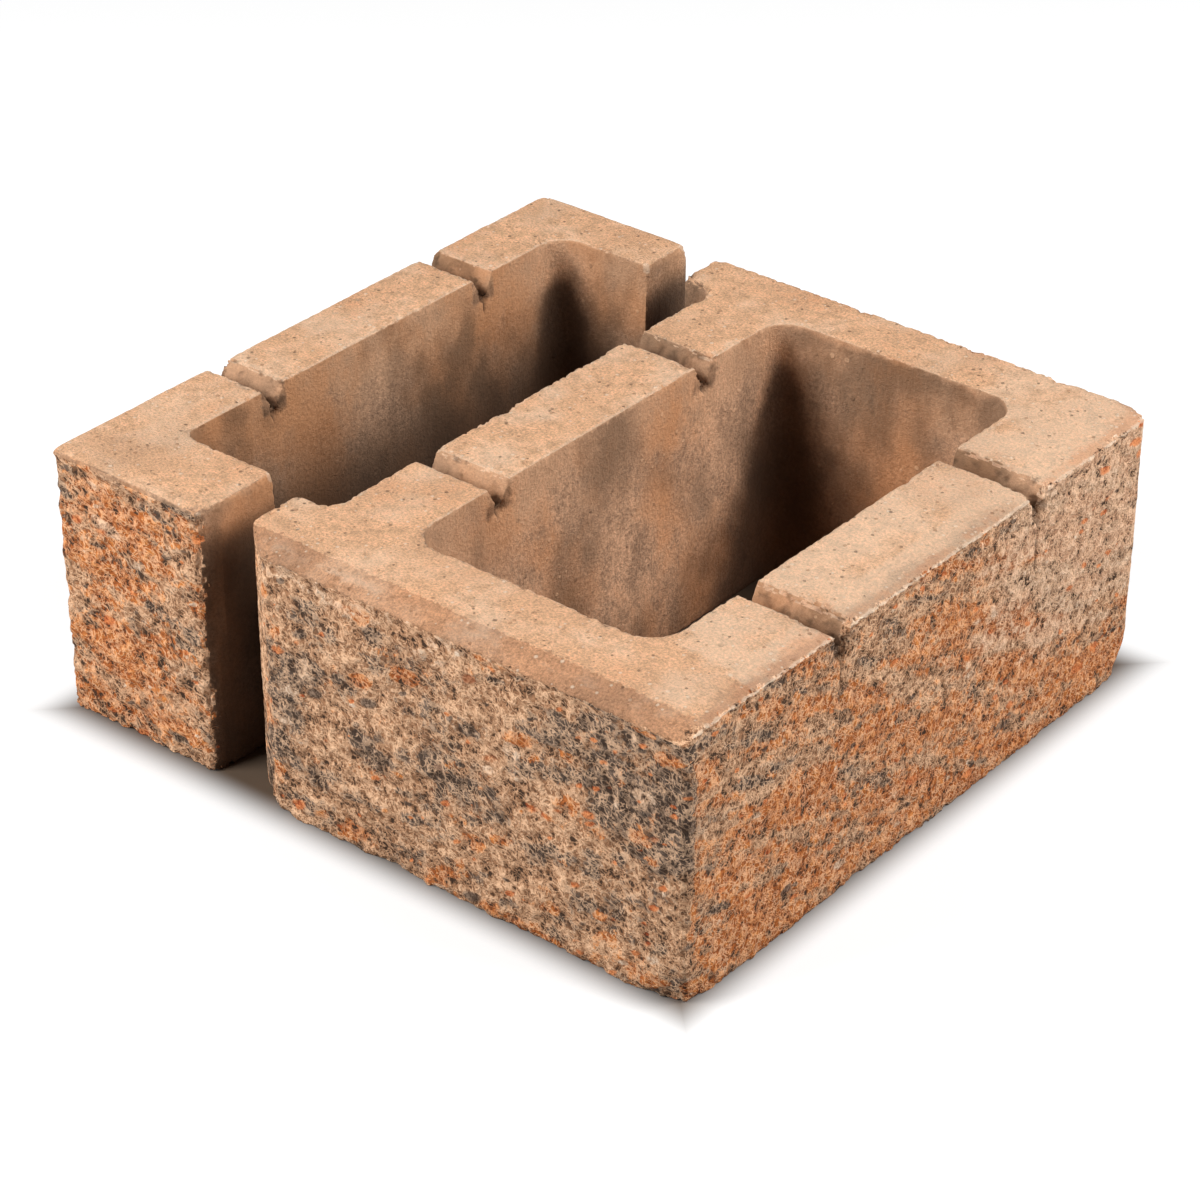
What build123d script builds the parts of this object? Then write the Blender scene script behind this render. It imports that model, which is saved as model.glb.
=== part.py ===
from build123d import *
import math
import os

# A concrete pillar block: one course of a hollow pillar, cast as two halves that push together
# into a square. The halves stand a little apart on one level, as they are handled.
# Units are millimetres. +X runs from the open half to the closed half, +Y runs from the front
# face to the rear, and +Z is up. The origin is the middle of the underside of the pair.

# The course
course_side = 400.0
course_height = 160.0
open_half_width = 109.0
joint_gap = 24.0
open_half_setback = 4.0

# Walls of both halves
front_wall = 55.0
rear_wall = 38.0
open_side_wall = 44.0
middle_wall = 50.0
closed_side_wall = 60.0

# Tongues on the joint side of the closed half
tongue_reach = 23.0
tongue_step_back = 4.0
tongue_chamfer_across = 22.0
tongue_chamfer_along = 17.5
tongue_tip_radius = 5.0
tongue_root_radius = 11.0

# Arms of the open half
arm_lead_across = 3.0
arm_lead_along = 15.0

# Cores
core_radius = 18.0
core_draft = 1.5
bay_front_radius = 10.0
bay_rear_radius = 16.0

# Outer corners and the front edge
front_corner_radius = 3.0
rear_face_corner_radius = 12.0
rear_joint_corner_radius = 6.0
weathered_bevel_depth = 16.0
weathered_bevel_drop = 5.5
open_front_edge_radius = 5.0

# Knock-out grooves across the side walls
groove_width = 16.5
groove_depth = 15.5
groove_from_core_end = 68.0
groove_root_radius = 2.0

# How far a cutting shape runs past the face that it opens
overcut = 10.0

closed_half_width = course_side - open_half_width
pair_width = course_side + joint_gap
pair_depth = course_side + open_half_setback
pair_left = -pair_width / 2
pair_front = -pair_depth / 2
closed_half_left = pair_left + open_half_width + joint_gap
closed_half_front = pair_front
open_half_front = pair_front + open_half_setback

core_front = front_wall
core_rear = course_side - rear_wall
front_groove = core_front + groove_from_core_end
rear_groove = core_rear - groove_from_core_end


def extruded_outline(corners, radii):
    """Solid of the course's height over a closed outline with rounded corners."""
    with BuildPart() as block:
        with BuildSketch():
            with BuildLine():
                FilletPolyline(*corners, radius=radii, close=True)
            make_face()
        extrude(amount=course_height)
    return block.part


def drafted_cutter(left, right, front, rear, radii):
    """Core shape that narrows downwards by the draft, through the whole height.

    The mould lifts off upwards, so each core is widest at its mouth in the top face. The given
    sides and radii are those of the mouth. The radii go round from the front left corner,
    anticlockwise.
    """
    spread = overcut * math.tan(math.radians(core_draft))
    with BuildPart() as cutter:
        with BuildSketch(Plane.XY.offset(-overcut)):
            with BuildLine():
                FilletPolyline(
                    (left - spread, front - spread),
                    (right + spread, front - spread),
                    (right + spread, rear + spread),
                    (left - spread, rear + spread),
                    radius=[radius + spread for radius in radii],
                    close=True,
                )
            make_face()
        extrude(amount=course_height + 2 * overcut, taper=core_draft)
    return cutter.part.mirror(Plane.XY.offset(course_height / 2))


def groove_cutter(along, length):
    """V groove with a rounded root, cut into the top face and running along X."""
    half_width = groove_width / 2
    slope = half_width / groove_depth
    reach = half_width + overcut * slope
    with BuildPart() as cutter:
        with BuildSketch(Plane.YZ.offset(-overcut)):
            with BuildLine():
                FilletPolyline(
                    (along - reach, course_height + overcut),
                    (along, course_height - groove_depth),
                    (along + reach, course_height + overcut),
                    radius=[groove_root_radius],
                )
                Line((along + reach, course_height + overcut), (along - reach, course_height + overcut))
            make_face()
        extrude(amount=length + 2 * overcut)
    return cutter.part


def front_bevel_cutter(length):
    """Wedge that takes the shallow bevel off the top of the front face."""
    rise_per_mm = weathered_bevel_drop / weathered_bevel_depth
    with BuildPart() as cutter:
        with BuildSketch(Plane.YZ.offset(-overcut)):
            with BuildLine():
                Polyline(
                    (-overcut, course_height - weathered_bevel_drop - overcut * rise_per_mm),
                    (weathered_bevel_depth + overcut, course_height + overcut * rise_per_mm),
                    (-overcut, course_height + overcut * rise_per_mm),
                    close=True,
                )
            make_face()
        extrude(amount=length + 2 * overcut)
    return cutter.part


def closed_half():
    """Ring with one full core, two side walls with grooves, and the joint tongues."""
    width = closed_half_width
    front_tongue_end = front_wall - tongue_step_back
    rear_tongue_start = course_side - rear_wall + tongue_step_back
    outline = [
        (tongue_chamfer_across, 0),
        (width, 0),
        (width, course_side),
        (0, course_side),
        (0, rear_tongue_start),
        (tongue_reach, rear_tongue_start),
        (tongue_reach, front_tongue_end),
        (0, front_tongue_end),
        (0, tongue_chamfer_along),
    ]
    radii = [
        front_corner_radius,
        front_corner_radius,
        rear_face_corner_radius,
        rear_joint_corner_radius,
        tongue_tip_radius,
        tongue_root_radius,
        tongue_root_radius,
        tongue_tip_radius,
        front_corner_radius,
    ]
    block = extruded_outline(outline, radii)
    block -= front_bevel_cutter(width)
    block -= drafted_cutter(
        tongue_reach + middle_wall,
        width - closed_side_wall,
        core_front,
        core_rear,
        [core_radius] * 4,
    )
    for along in (front_groove, rear_groove):
        block -= groove_cutter(along, width)
    return block.moved(Location((closed_half_left, closed_half_front, 0)))


def open_half():
    """C in plan: one long side wall with grooves and two arms that reach for the joint."""
    width = open_half_width
    outline = [
        (0, 0),
        (width - arm_lead_across, 0),
        (width, arm_lead_along),
        (width, course_side),
        (0, course_side),
    ]
    radii = [
        front_corner_radius,
        front_corner_radius,
        front_corner_radius,
        front_corner_radius,
        rear_joint_corner_radius,
    ]
    block = extruded_outline(outline, radii)
    front_edge = block.edges().filter_by(Axis.X).group_by(Axis.Y)[0].sort_by(Axis.Z)[-1]
    block = fillet(front_edge, open_front_edge_radius)
    bay = drafted_cutter(
        open_side_wall,
        width + bay_rear_radius + overcut,
        core_front,
        core_rear,
        [bay_front_radius, bay_front_radius, bay_rear_radius, bay_rear_radius],
    )
    block -= bay
    for along in (front_groove, rear_groove):
        block -= groove_cutter(along, open_side_wall + bay_front_radius)
    return block.moved(Location((pair_left, open_half_front, 0)))


os.makedirs("parts", exist_ok=True)
export_step(closed_half(), "parts/closed_half.step")
export_step(open_half(), "parts/open_half.step")
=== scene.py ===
"""Looks of the concrete pillar block: weathered castings, their concrete, and a plain studio."""

import math

import bmesh
import bpy
import numpy as np
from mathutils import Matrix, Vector, kdtree, noise


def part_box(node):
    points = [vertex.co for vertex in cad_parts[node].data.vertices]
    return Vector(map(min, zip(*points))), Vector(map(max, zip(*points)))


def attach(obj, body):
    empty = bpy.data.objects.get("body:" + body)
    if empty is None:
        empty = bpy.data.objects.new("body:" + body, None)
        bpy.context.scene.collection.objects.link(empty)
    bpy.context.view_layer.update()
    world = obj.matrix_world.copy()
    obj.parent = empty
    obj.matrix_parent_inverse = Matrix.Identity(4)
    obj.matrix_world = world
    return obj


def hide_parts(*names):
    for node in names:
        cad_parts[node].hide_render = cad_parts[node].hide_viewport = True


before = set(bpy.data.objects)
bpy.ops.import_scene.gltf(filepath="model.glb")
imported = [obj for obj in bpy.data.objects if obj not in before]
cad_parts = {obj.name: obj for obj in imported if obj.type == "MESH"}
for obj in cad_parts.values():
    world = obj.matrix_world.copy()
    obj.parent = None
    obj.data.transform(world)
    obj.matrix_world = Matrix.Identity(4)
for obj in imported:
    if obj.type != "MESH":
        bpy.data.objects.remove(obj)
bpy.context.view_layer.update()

bl_info = {
    "name": "Concrete pillar block",
    "version": (1, 0, 0),
    "blender": (4, 5, 0),
    "location": "3D View > Sidebar > Pillar Block",
    "description": "Split faces, bed faces and moulded walls of a two-part hollow pillar block",
    "category": "Object",
}

MM = 0.001
ROOT_BODY = "root"
CLOSED_NODE = "closed_half"
OPEN_NODE = "open_half"

# Lines that the looks share with the solids, in millimetres from each half's lowest corner
BEVEL_DROP = 5.5
BEVEL_DEPTH = 16.0
GROOVE_LINES = (123.0, 294.0)
GROOVE_DEPTH = 15.5
GROOVE_REACH = 9.5
CLOSED_CORE_SIDES = (73.0, 231.0)
CLOSED_MARGIN = 21.0
OPEN_BAY_SIDES = (44.0, 125.0)
CORE_FRONT = 55.0
CORE_REAR = 362.0
CHAMFER_ACROSS = 22.0
CHAMFER_ALONG = 17.5
TONGUE_REACH = 23.0
ARM_LEAD = 15.0

# How far below the top face each split front starts, and how much less after the run
CLOSED_CLEAR = (BEVEL_DROP + 1.2, 0.6)
OPEN_CLEAR = (3.5, 0.0)
CLEAR_RUN = 250.0

# Zones of a casting's faces, which are also the order of its materials
BED, SPLIT, WALL, BEVEL = range(4)
# A face counts as level when its normal stands up by more than this
LEVEL_NORMAL = 0.7

# Dark areas of the closed half's front face: strength, middle and radii
CLOSED_DARK_SPOTS = (
    (0.36, (275.0, 0.0, 112.0), (62.0, 40.0, 62.0)),
    (0.28, (14.0, 0.0, 70.0), (44.0, 40.0, 55.0)),
    (0.20, (148.0, 0.0, 80.0), (48.0, 40.0, 30.0)),
)

# Stones of the split faces, each with its colour in painted shade and in painted light
ORANGE_STONE = ((0.42, 0.11, 0.024), (0.92, 0.34, 0.085))
DARK_STONE = ((0.05, 0.037, 0.03), (0.32, 0.225, 0.165))
PALE_STONE = ((0.6, 0.37, 0.23), (0.98, 0.8, 0.62))
RED_GRAIN = ((0.42, 0.08, 0.022), (0.88, 0.30, 0.10))

# Feature sizes of the textures, in metres
CLOSED_GRAIN = 0.0030
OPEN_GRAIN = 0.0034
BLOTCH = 0.0085
STONE_SIZES = (0.0100, 0.0050)
BED_MOTTLE = 0.0075
BED_SAND = 0.0014
WALL_STREAK = 0.0045
WALL_MOTTLE = 0.012
WALL_SAND = 0.0020

ROUGHNESS = 0.92
SPECULAR = 0.2

# Studio, in metres and degrees
WHITE = (1.0, 1.0, 1.0)
FLOOR_HALF_SIDE = 6.0
FLOOR_TONE = (0.42, 0.42, 0.42)
FLOOR_GLOW = 0.66
# Painted shade: dark brown of the floor under the block's footprint, and how far it reaches and fades
SHADED_TONE = (0.12, 0.085, 0.06)
SHADED_SIDES = (0.200, 0.190)
SHADE_FADE = 0.03
AMBIENT = 0.03
LAMPS = (("right_light", 115.0, 45.0, 50.0), ("front_light", -32.0, 38.0, 55.0))
LAMP_DISTANCE = 2.3
LAMP_SIDE = 1.1
LAMP_AIM = (0.0, 0.0, 0.08)
SENSOR_WIDTH = 36.0


def length_property(name, description, default, low=0.0):
    return bpy.props.FloatProperty(
        name=name, description=description, default=default, min=low, unit="LENGTH"
    )


class PillarSurface(bpy.types.PropertyGroup):
    """Sizes of the surface relief."""

    front_relief: length_property("Front relief", "Depth of the split relief on the front faces", 4.6 * MM)
    side_relief: length_property("Side relief", "Depth of the split relief on the side face", 3.0 * MM)
    edge_chips: length_property("Edge chips", "Depth of the chips along moulded edges", 3.0 * MM)
    cell: length_property("Mesh cell", "Size of the cells of the remeshed castings", 1.5 * MM, 0.5 * MM)
    triangles: bpy.props.IntProperty(
        name="Triangles",
        description="Most triangles that one casting keeps",
        default=190000,
        min=20000,
    )


def colour_property(name, description, default):
    return bpy.props.FloatVectorProperty(
        name=name, description=description, default=default, subtype="COLOR", size=3, min=0.0, max=1.0
    )


class PillarColours(bpy.types.PropertyGroup):
    """Colours of the concrete, in linear light."""

    bed: colour_property("Bed face", "Fine face of the top and underside", (0.79, 0.455, 0.262))
    bevel: colour_property("Bevel", "Weathered front edge", (0.62, 0.32, 0.172))
    wall: colour_property("Moulded wall", "Walls that the mould drew past", (0.58, 0.35, 0.218))
    mortar: colour_property("Mortar", "Light mortar on the split faces", (0.97, 0.605, 0.37))
    # On the split faces this is the painted-shade copy of the mortar
    shade: colour_property("Mortar shade", "Mortar between the light grains", (0.38, 0.185, 0.092))
    # Painted shade: near-black put into pits, cracks, recesses and the darkest split-face tones
    pit_shade: colour_property("Pit", "Bottoms of pits and cracks", (0.055, 0.03, 0.018))
    rust: colour_property("Rust pigment", "Orange patches", (0.60, 0.17, 0.04))
    ochre: colour_property("Ochre pigment", "Golden brown clouds on the walls", (0.60, 0.235, 0.075))
    umber: colour_property("Umber pigment", "Dark brown clouds on the walls", (0.12, 0.078, 0.048))
    charcoal: colour_property("Charcoal", "Dark patches", (0.085, 0.063, 0.05))
    pale: colour_property("Pale grain", "Pale aggregate and worn edges", (0.92, 0.74, 0.56))


def angle_property(name, description, degrees):
    default = math.radians(degrees)
    return bpy.props.FloatProperty(name=name, description=description, default=default, subtype="ANGLE")


class PillarStage(bpy.types.PropertyGroup):
    """Camera and studio."""

    azimuth: angle_property("Azimuth", "Turn of the view from looking along +Y towards -X", 39.231)
    elevation: angle_property("Elevation", "Height of the view above the horizon", 31.565)
    distance: length_property("Distance", "Distance of the camera from its aim", 1930.0 * MM)
    aim: bpy.props.FloatVectorProperty(
        name="Aim",
        description="Point that the camera looks at",
        default=(2.7 * MM, -8.3 * MM, 60.0 * MM),
        size=3,
        subtype="TRANSLATION",
    )
    lens: bpy.props.FloatProperty(
        name="Lens",
        description="Focal length in millimetres on a 36 mm sensor",
        default=108.14,
    )


# Meshes

def copy_of_node(node, name):
    """New object with the node's mesh, its doubled vertices joined."""
    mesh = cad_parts[node].data.copy()
    mesh.name = name
    mesh.materials.clear()
    work = bmesh.new()
    work.from_mesh(mesh)
    bmesh.ops.remove_doubles(work, verts=work.verts, dist=0.01 * MM)
    work.to_mesh(mesh)
    work.free()
    piece = bpy.data.objects.new(name, mesh)
    bpy.context.scene.collection.objects.link(piece)
    return piece


def settle(piece):
    """Puts the result of the piece's modifiers in its mesh."""
    depsgraph = bpy.context.evaluated_depsgraph_get()
    mesh = bpy.data.meshes.new_from_object(piece.evaluated_get(depsgraph))
    mesh.name = piece.name
    piece.modifiers.clear()
    piece.data = mesh


def remesh(piece, cell):
    modifier = piece.modifiers.new("Cells", "REMESH")
    modifier.mode = "VOXEL"
    modifier.voxel_size = cell
    modifier.adaptivity = 0.0
    settle(piece)


def thin_out(piece, triangles):
    """Collapses edges on the even stretches until the piece has the given triangles."""
    piece.data.calc_loop_triangles()
    count = len(piece.data.loop_triangles)
    if count <= triangles:
        return
    modifier = piece.modifiers.new("Thin out", "DECIMATE")
    modifier.ratio = triangles / count
    settle(piece)


def read_vectors(items, attribute):
    values = np.empty(len(items) * 3, dtype=np.float32)
    items.foreach_get(attribute, values)
    return values.reshape(-1, 3).astype(float)


def point_values(mesh, name, values):
    """Stores one number for each vertex under a name that the materials read."""
    layer = mesh.attributes.new(name=name, type="FLOAT", domain="POINT")
    layer.data.foreach_set("value", values.astype(np.float32))


def edge_ends(mesh):
    ends = np.empty(len(mesh.edges) * 2, dtype=np.int32)
    mesh.edges.foreach_get("vertices", ends)
    return ends.reshape(-1, 2)


def neighbour_mean(values, ends):
    """Mean of each vertex's neighbours."""
    total = np.zeros_like(values)
    np.add.at(total, ends[:, 0], values[ends[:, 1]])
    np.add.at(total, ends[:, 1], values[ends[:, 0]])
    count = np.maximum(np.bincount(ends.ravel(), minlength=len(values)), 1.0)
    return total / (count[:, None] if values.ndim == 2 else count)


# Noise on arrays of points, in millimetres

def rise(low, high, value):
    """0 below low, 1 above high, and an even curve between."""
    share = np.clip((value - low) / (high - low), 0.0, 1.0)
    return share * share * (3.0 - 2.0 * share)


def fall(low, high, value):
    return 1.0 - rise(low, high, value)


def fractal(points, size, octaves, seed):
    """Fractal noise of about -1 to 1 with features of the given size."""
    shift = Vector((seed * 17.3, seed * 5.9, seed * 11.1))
    return np.array([noise.fractal(Vector(point) / size + shift, 0.9, 2.1, octaves) for point in points])


def cells_at(points, size, seed):
    """Distance to the nearest cell centre, in cells, and a number from 0 to 1 for each cell."""
    shift = Vector((seed * 7.7, seed * 13.1, seed * 3.3))
    distance = np.empty(len(points))
    lot = np.empty(len(points))
    for index, point in enumerate(points):
        near, centres = noise.voronoi(Vector(point) / size + shift)
        distance[index] = near[0]
        lot[index] = noise.cell(centres[0] * 37.0)
    return distance, lot % 1.0


def slanted(points, angle, stretch):
    """Points of a front face turned in its plane and squeezed, so that patches lie along a slant."""
    turn = math.radians(angle)
    along = points[:, 0] * math.cos(turn) + points[:, 2] * math.sin(turn)
    across = points[:, 2] * math.cos(turn) - points[:, 0] * math.sin(turn)
    return np.column_stack((along / stretch, points[:, 1] * 0.3, across))


class Casting:
    """One half of the block while its surface is worked.

    Places are in millimetres from the half's own lowest corner.
    """

    def __init__(self, node, name, core_sides, surface):
        low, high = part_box(node)
        self.low = np.array(low) / MM
        self.size = np.array(high) / MM - self.low
        self.surface = surface
        self.core_left, self.core_right = core_sides
        self.piece = copy_of_node(node, name)
        remesh(self.piece, surface.cell)
        self.mesh = self.piece.data
        self.places = read_vectors(self.mesh.vertices, "co") / MM - self.low
        self.ends = edge_ends(self.mesh)
        count = len(self.places)
        self.marks = {name: np.zeros(count) for name in ("edge", "crack", "tip")}
        self.marks["edge"] = self.arris_values(4)

    def store(self):
        self.places = np.clip(self.places, 0.0, self.size)
        self.mesh.vertices.foreach_set("co", ((self.places + self.low) * MM).astype(np.float32).ravel())
        self.mesh.update()

    def normals(self):
        self.store()
        return read_vectors(self.mesh.vertices, "normal")

    def arris_values(self, rings):
        """1 on the outer edges of the moulded shape, fading over the given rings of vertices."""
        normals = self.normals()
        stand = -((neighbour_mean(self.places, self.ends) - self.places) * normals).sum(1)
        value = rise(0.06, 0.2, stand)
        for _ in range(rings):
            value = np.clip(neighbour_mean(value, self.ends) * 1.25, value, 1.0)
        return value

    def mark_crack(self, near, values):
        """Paints shade on the near vertices, at least as much as the values say."""
        self.marks["crack"][near] = np.maximum(self.marks["crack"][near], values)

    # Wear of the whole casting

    def roughen(self, seed):
        """Slight unevenness and small blow holes all over."""
        normals = self.normals()
        sway = 0.20 * fractal(self.places, 26.0, 2, seed)
        sand = 0.13 * fractal(self.places, 4.0, 2, seed + 1)
        distance, lot = cells_at(self.places, 12.0, seed + 2)
        radius = 0.05 + 0.10 * np.clip(lot * 4.0 - 3.0, 0.0, 1.0)
        hole = np.where(lot > 0.75, 0.9 * fall(radius * 0.5, radius, distance), 0.0)
        self.places -= normals * (0.26 + sway + sand + hole)[:, None]
        # Painted shade in the blow holes
        self.mark_crack(slice(None), 0.6 * hole)

    def chip_edges(self, seed):
        """Crumbled stretches and single bites along every arris that the mould left."""
        edge = self.marks["edge"]
        near = edge > 0.04
        points = self.places[near]
        crumbs = rise(-0.2, 0.6, fractal(points, 3.4, 2, seed)) * 0.6
        stretch = rise(-0.1, 0.5, fractal(points, 45.0, 2, seed + 1))
        distance, lot = cells_at(points, 15.0, seed + 2)
        bites = np.where(lot > 0.6, fall(0.2, 0.55, distance), 0.0)
        depth = 0.10 + crumbs * (0.5 + stretch) + 0.7 * bites * stretch
        depth = depth * edge[near] * self.frailty(points)
        normals = self.normals()[near]
        self.places[near] -= normals * (depth * self.surface.edge_chips / MM)[:, None]

    def tear_grooves(self, seed):
        """Painted shade of tears on the faces of the knock-out grooves, which the mesh doesn't cut."""
        near = groove_share(self) > 0.3
        torn = rise(-0.4, 0.8, fractal(self.places[near], 5.0, 3, seed))
        self.mark_crack(near, 0.7 * rise(0.55, 1.0, torn))
        self.store()

    def frailty(self, points):
        """1 on outer edges, and less on the edges of the core, which the mould holds best."""
        inside = (points[:, 1] > CORE_FRONT - 3.0) & (points[:, 1] < CORE_REAR + 3.0)
        inside &= (points[:, 0] > self.core_left - 3.0) & (points[:, 0] < self.core_right + 3.0)
        return np.where(inside, 0.42, 1.0)

    def polish_edges(self):
        """Leaves most edges little worn, but the top edge of the right-hand face well worn."""
        exposed = (self.places[:, 0] > self.size[0] - 4.0) & (self.places[:, 2] > self.size[2] - 5.0)
        self.marks["edge"] *= np.where(exposed, 1.0, 0.5)

    def hollow(self, middle, radii, depth, seed):
        """Breaks out a hole round a point, and paints shade in it."""
        distance = np.linalg.norm((self.places - np.array(middle)) / np.array(radii), axis=1)
        near = distance < 1.35
        ragged = distance[near] + 0.35 * fractal(self.places[near], 5.5, 2, seed)
        bite = fall(0.35, 1.0, ragged)
        normals = self.normals()[near]
        self.places[near] -= normals * (bite * depth)[:, None]
        self.mark_crack(near, bite * 0.72)

    def break_inner_end(self, line, side):
        """Hole where a groove ends at the core."""
        middle = (side - 3.0, line, self.size[2] - 14.5)
        self.hollow(middle, (8.0, 4.5, 6.0), depth=3.5, seed=line + 4.0)

    def break_corner(self, corner, radius, depth):
        """Rounds off a lump round a bottom corner, towards the middle of the half."""
        distance = np.linalg.norm(self.places - np.array(corner), axis=1)
        pull = fall(0.0, radius, distance) * depth
        inward = self.size / 2 - np.array(corner)
        inward[2] = 0.0
        inward /= np.linalg.norm(inward)
        self.places += pull[:, None] * inward

    # Split faces

    def split_depth(self, points, seed, coarse):
        """Depth from 0 to 1 of a split face, and its fine part alone."""
        broad = fractal(points, 90.0, 2, seed)
        lumps = fractal(points, 21.0, 3, seed + 1)
        grain = fractal(points, 4.6, 2, seed + 2)
        distance, lot = cells_at(points, 10.0, seed + 3)
        stones = (distance - 0.45) * (0.5 + lot)
        depth = 0.46 + 0.20 * broad + coarse * (0.28 * lumps + 0.30 * stones) + 0.20 * grain
        fine = coarse * (0.5 * lumps + 0.6 * stones) + 0.6 * grain
        return np.clip(depth, 0.02, 1.0), fine

    def split_front(self, seed, clear):
        """Split relief of the front face, none within the clear distance of the top face."""
        near = self.places[:, 1] < 26.0
        points = self.places[near]
        depth, fine = self.split_depth(points * (1.0, 0.25, 1.0), seed, 1.0)
        wander = 1.3 * fractal(points * (1.0, 0.0, 0.0), 26.0, 2, seed + 5)
        below = self.size[2] - clear_at(clear, points[:, 0]) + wander - points[:, 2]
        full = rise(-0.5, 6.0, below)
        fade = fall(0.0, 24.0, points[:, 1])
        self.places[near, 1] += depth * full * fade * self.surface.front_relief / MM
        # The fine relief, which the split material turns into painted shade
        self.marks["tip"][near] = fine * full * fade

    def split_right(self, seed, clear_top):
        """Finer split relief of the right-hand face."""
        width = self.size[0]
        near = self.places[:, 0] > width - 22.0
        points = self.places[near]
        depth, fine = self.split_depth(points * (0.25, 1.0, 1.0), seed, 0.7)
        wander = 0.8 * fractal(points * (0.0, 1.0, 0.0), 18.0, 2, seed + 5)
        below = self.size[2] - clear_top + wander - points[:, 2]
        full = rise(0.0, 4.0, below) * rise(0.0, 10.0, self.size[1] - points[:, 1])
        fade = fall(0.0, 20.0, width - points[:, 0])
        self.places[near, 0] -= depth * full * fade * self.surface.side_relief / MM
        self.marks["tip"][near] = np.where(fade > 0.6, fine * full * fade, self.marks["tip"][near])

    def lower_margin(self, drop):
        """Lets the top face down a little beside the split right-hand face."""
        inside = self.size[0] - CLOSED_MARGIN
        step = rise(inside - 2.0, inside + 2.0, self.places[:, 0])
        slope = rise(inside, self.size[0], self.places[:, 0])
        top = rise(self.size[2] - 14.0, self.size[2] - 1.0, self.places[:, 2])
        self.places[:, 2] -= top * drop * (0.45 * step + 0.55 * slope)

    def cut_crack(self, line, side, length, seed):
        """Hair crack that runs down from the root of a groove, in a face that looks along +X."""
        near = np.abs(self.places[:, 0] - side) < 5.0
        points = self.places[near]
        wander = 1.8 * fractal(points * (0.0, 0.0, 1.0), 12.0, 3, seed)
        across = np.abs(points[:, 1] - line - wander)
        down = self.size[2] - GROOVE_DEPTH - points[:, 2]
        width = 0.9 * fall(0.0, length * 0.5, down) + 0.35
        gape = fall(width * 0.5, width * 1.8, across) * rise(-5.0, 0.0, down)
        gape *= fall(length * 0.75, length, down)
        self.places[near, 0] -= 1.2 * gape
        # Painted shade in the crack
        self.mark_crack(near, gape)

    # What the materials read

    def finish(self):
        """Thins the mesh, and carries the marks over to the vertices that stay."""
        self.store()
        count = len(self.places)
        tree = kdtree.KDTree(count)
        for index, place in enumerate(self.places):
            tree.insert(place, index)
        tree.balance()
        thin_out(self.piece, self.surface.triangles)
        self.mesh = self.piece.data
        self.places = read_vectors(self.mesh.vertices, "co") / MM - self.low
        source = np.array([tree.find(place)[1] for place in self.places])
        for name, values in self.marks.items():
            point_values(self.mesh, name, values[source])

    def zone_faces(self, zone_of):
        """Gives each face the material of its zone."""
        middles = read_vectors(self.mesh.polygons, "center") / MM - self.low
        normals = read_vectors(self.mesh.polygons, "normal")
        zones = zone_of(middles, normals, self.size)
        self.mesh.polygons.foreach_set("material_index", zones.astype(np.int32))
        self.mesh.polygons.foreach_set("use_smooth", np.ones(len(self.mesh.polygons), dtype=bool))
        self.mesh.update()

    def stain(self, rust, soot_and_painted_shade, bloom_and_painted_light, painted_recess_shade):
        """Stores how much orange, dark and pale pigment each vertex has, with painted light and shade among
        them, and how much painted shade of recesses.
        """
        for name, values in (("rust", rust), ("soot_and_painted_shade", soot_and_painted_shade), ("bloom_and_painted_light", bloom_and_painted_light), ("painted_recess_shade", painted_recess_shade)):
            point_values(self.mesh, name, np.clip(values, 0.0, 1.0))


def clear_at(clear, x):
    """How far below the top face a split front starts at x."""
    start, less = clear
    return start - less * rise(0.0, CLEAR_RUN, x)


def clasts(points, size, share, seed):
    """1 in the middle of stones that show in a split face, 0 between them."""
    distance, lot = cells_at(points, size, seed)
    radius = 0.26 + 0.30 * np.clip((lot - 1.0 + share) / share, 0.0, 1.0)
    return np.where(lot > 1.0 - share, fall(radius * 0.55, radius * 1.3, distance), 0.0)


def groove_share(casting):
    """1 on the faces of the knock-out grooves."""
    across = np.min([np.abs(casting.places[:, 1] - line) for line in GROOVE_LINES], axis=0)
    root = casting.size[2] - GROOVE_DEPTH
    return (across < GROOVE_REACH) * rise(root - 2.0, root, casting.places[:, 2])


def near_spot(points, middle, radius):
    """1 at a point of the surface, falling to 0 at the radius round it."""
    offset = (points - np.array(middle)) / np.array(radius)
    return fall(0.35, 1.0, np.linalg.norm(offset, axis=1))


class Stains:
    """Pigment, painted light and painted shade of a casting. Each method gives one value for each vertex.
    """

    def __init__(self, casting):
        self.casting = casting
        self.points = casting.places
        self.x, self.y, self.z = self.points.T
        self.width, _, self.height = casting.size
        self.down = self.height - self.z
        self.in_groove = groove_share(casting)

    def clouds(self, size, strength, squeeze, seed):
        """Soft clouds that are drawn out downwards."""
        return strength * fractal(self.points * (1.0, 1.0, squeeze), size, 3, seed)

    def groove_shade(self):
        """Painted shade on the faces of the knock-out grooves, most at the root."""
        return self.in_groove * (0.12 + 0.40 * rise(3.0, 14.0, self.down))

    def rim_light(self):
        """Painted light: a paler band of the walls round a core, just below the top face."""
        inside = (self.y > CORE_FRONT - 1.0) & (self.y < CORE_REAR + 1.0)
        return 0.75 * inside * fall(4.0, 50.0, self.down) * rise(0.4, 1.5, self.down)

    def corner_shade(self, side, spread):
        """Painted shade: a dark wedge in a core's rear left corner, wider towards the bottom."""
        down = self.down - 12.0
        reach = np.maximum(down * spread, 0.1) + 6.0
        off = np.hypot(self.x - side, self.y - CORE_REAR)
        off *= 1.0 + 0.25 * fractal(self.points, 22.0, 2, 301)
        inside = (self.x > side - 6.0) & (self.y < CORE_REAR + 8.0)
        return self.rest * inside * fall(0.3 * reach, 1.15 * reach, off) * rise(0.0, 22.0, down)

    def store(self):
        self.casting.stain(self.rust(), self.soot_and_painted_shade(), self.bloom_and_painted_light(), self.painted_recess_shade())


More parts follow.
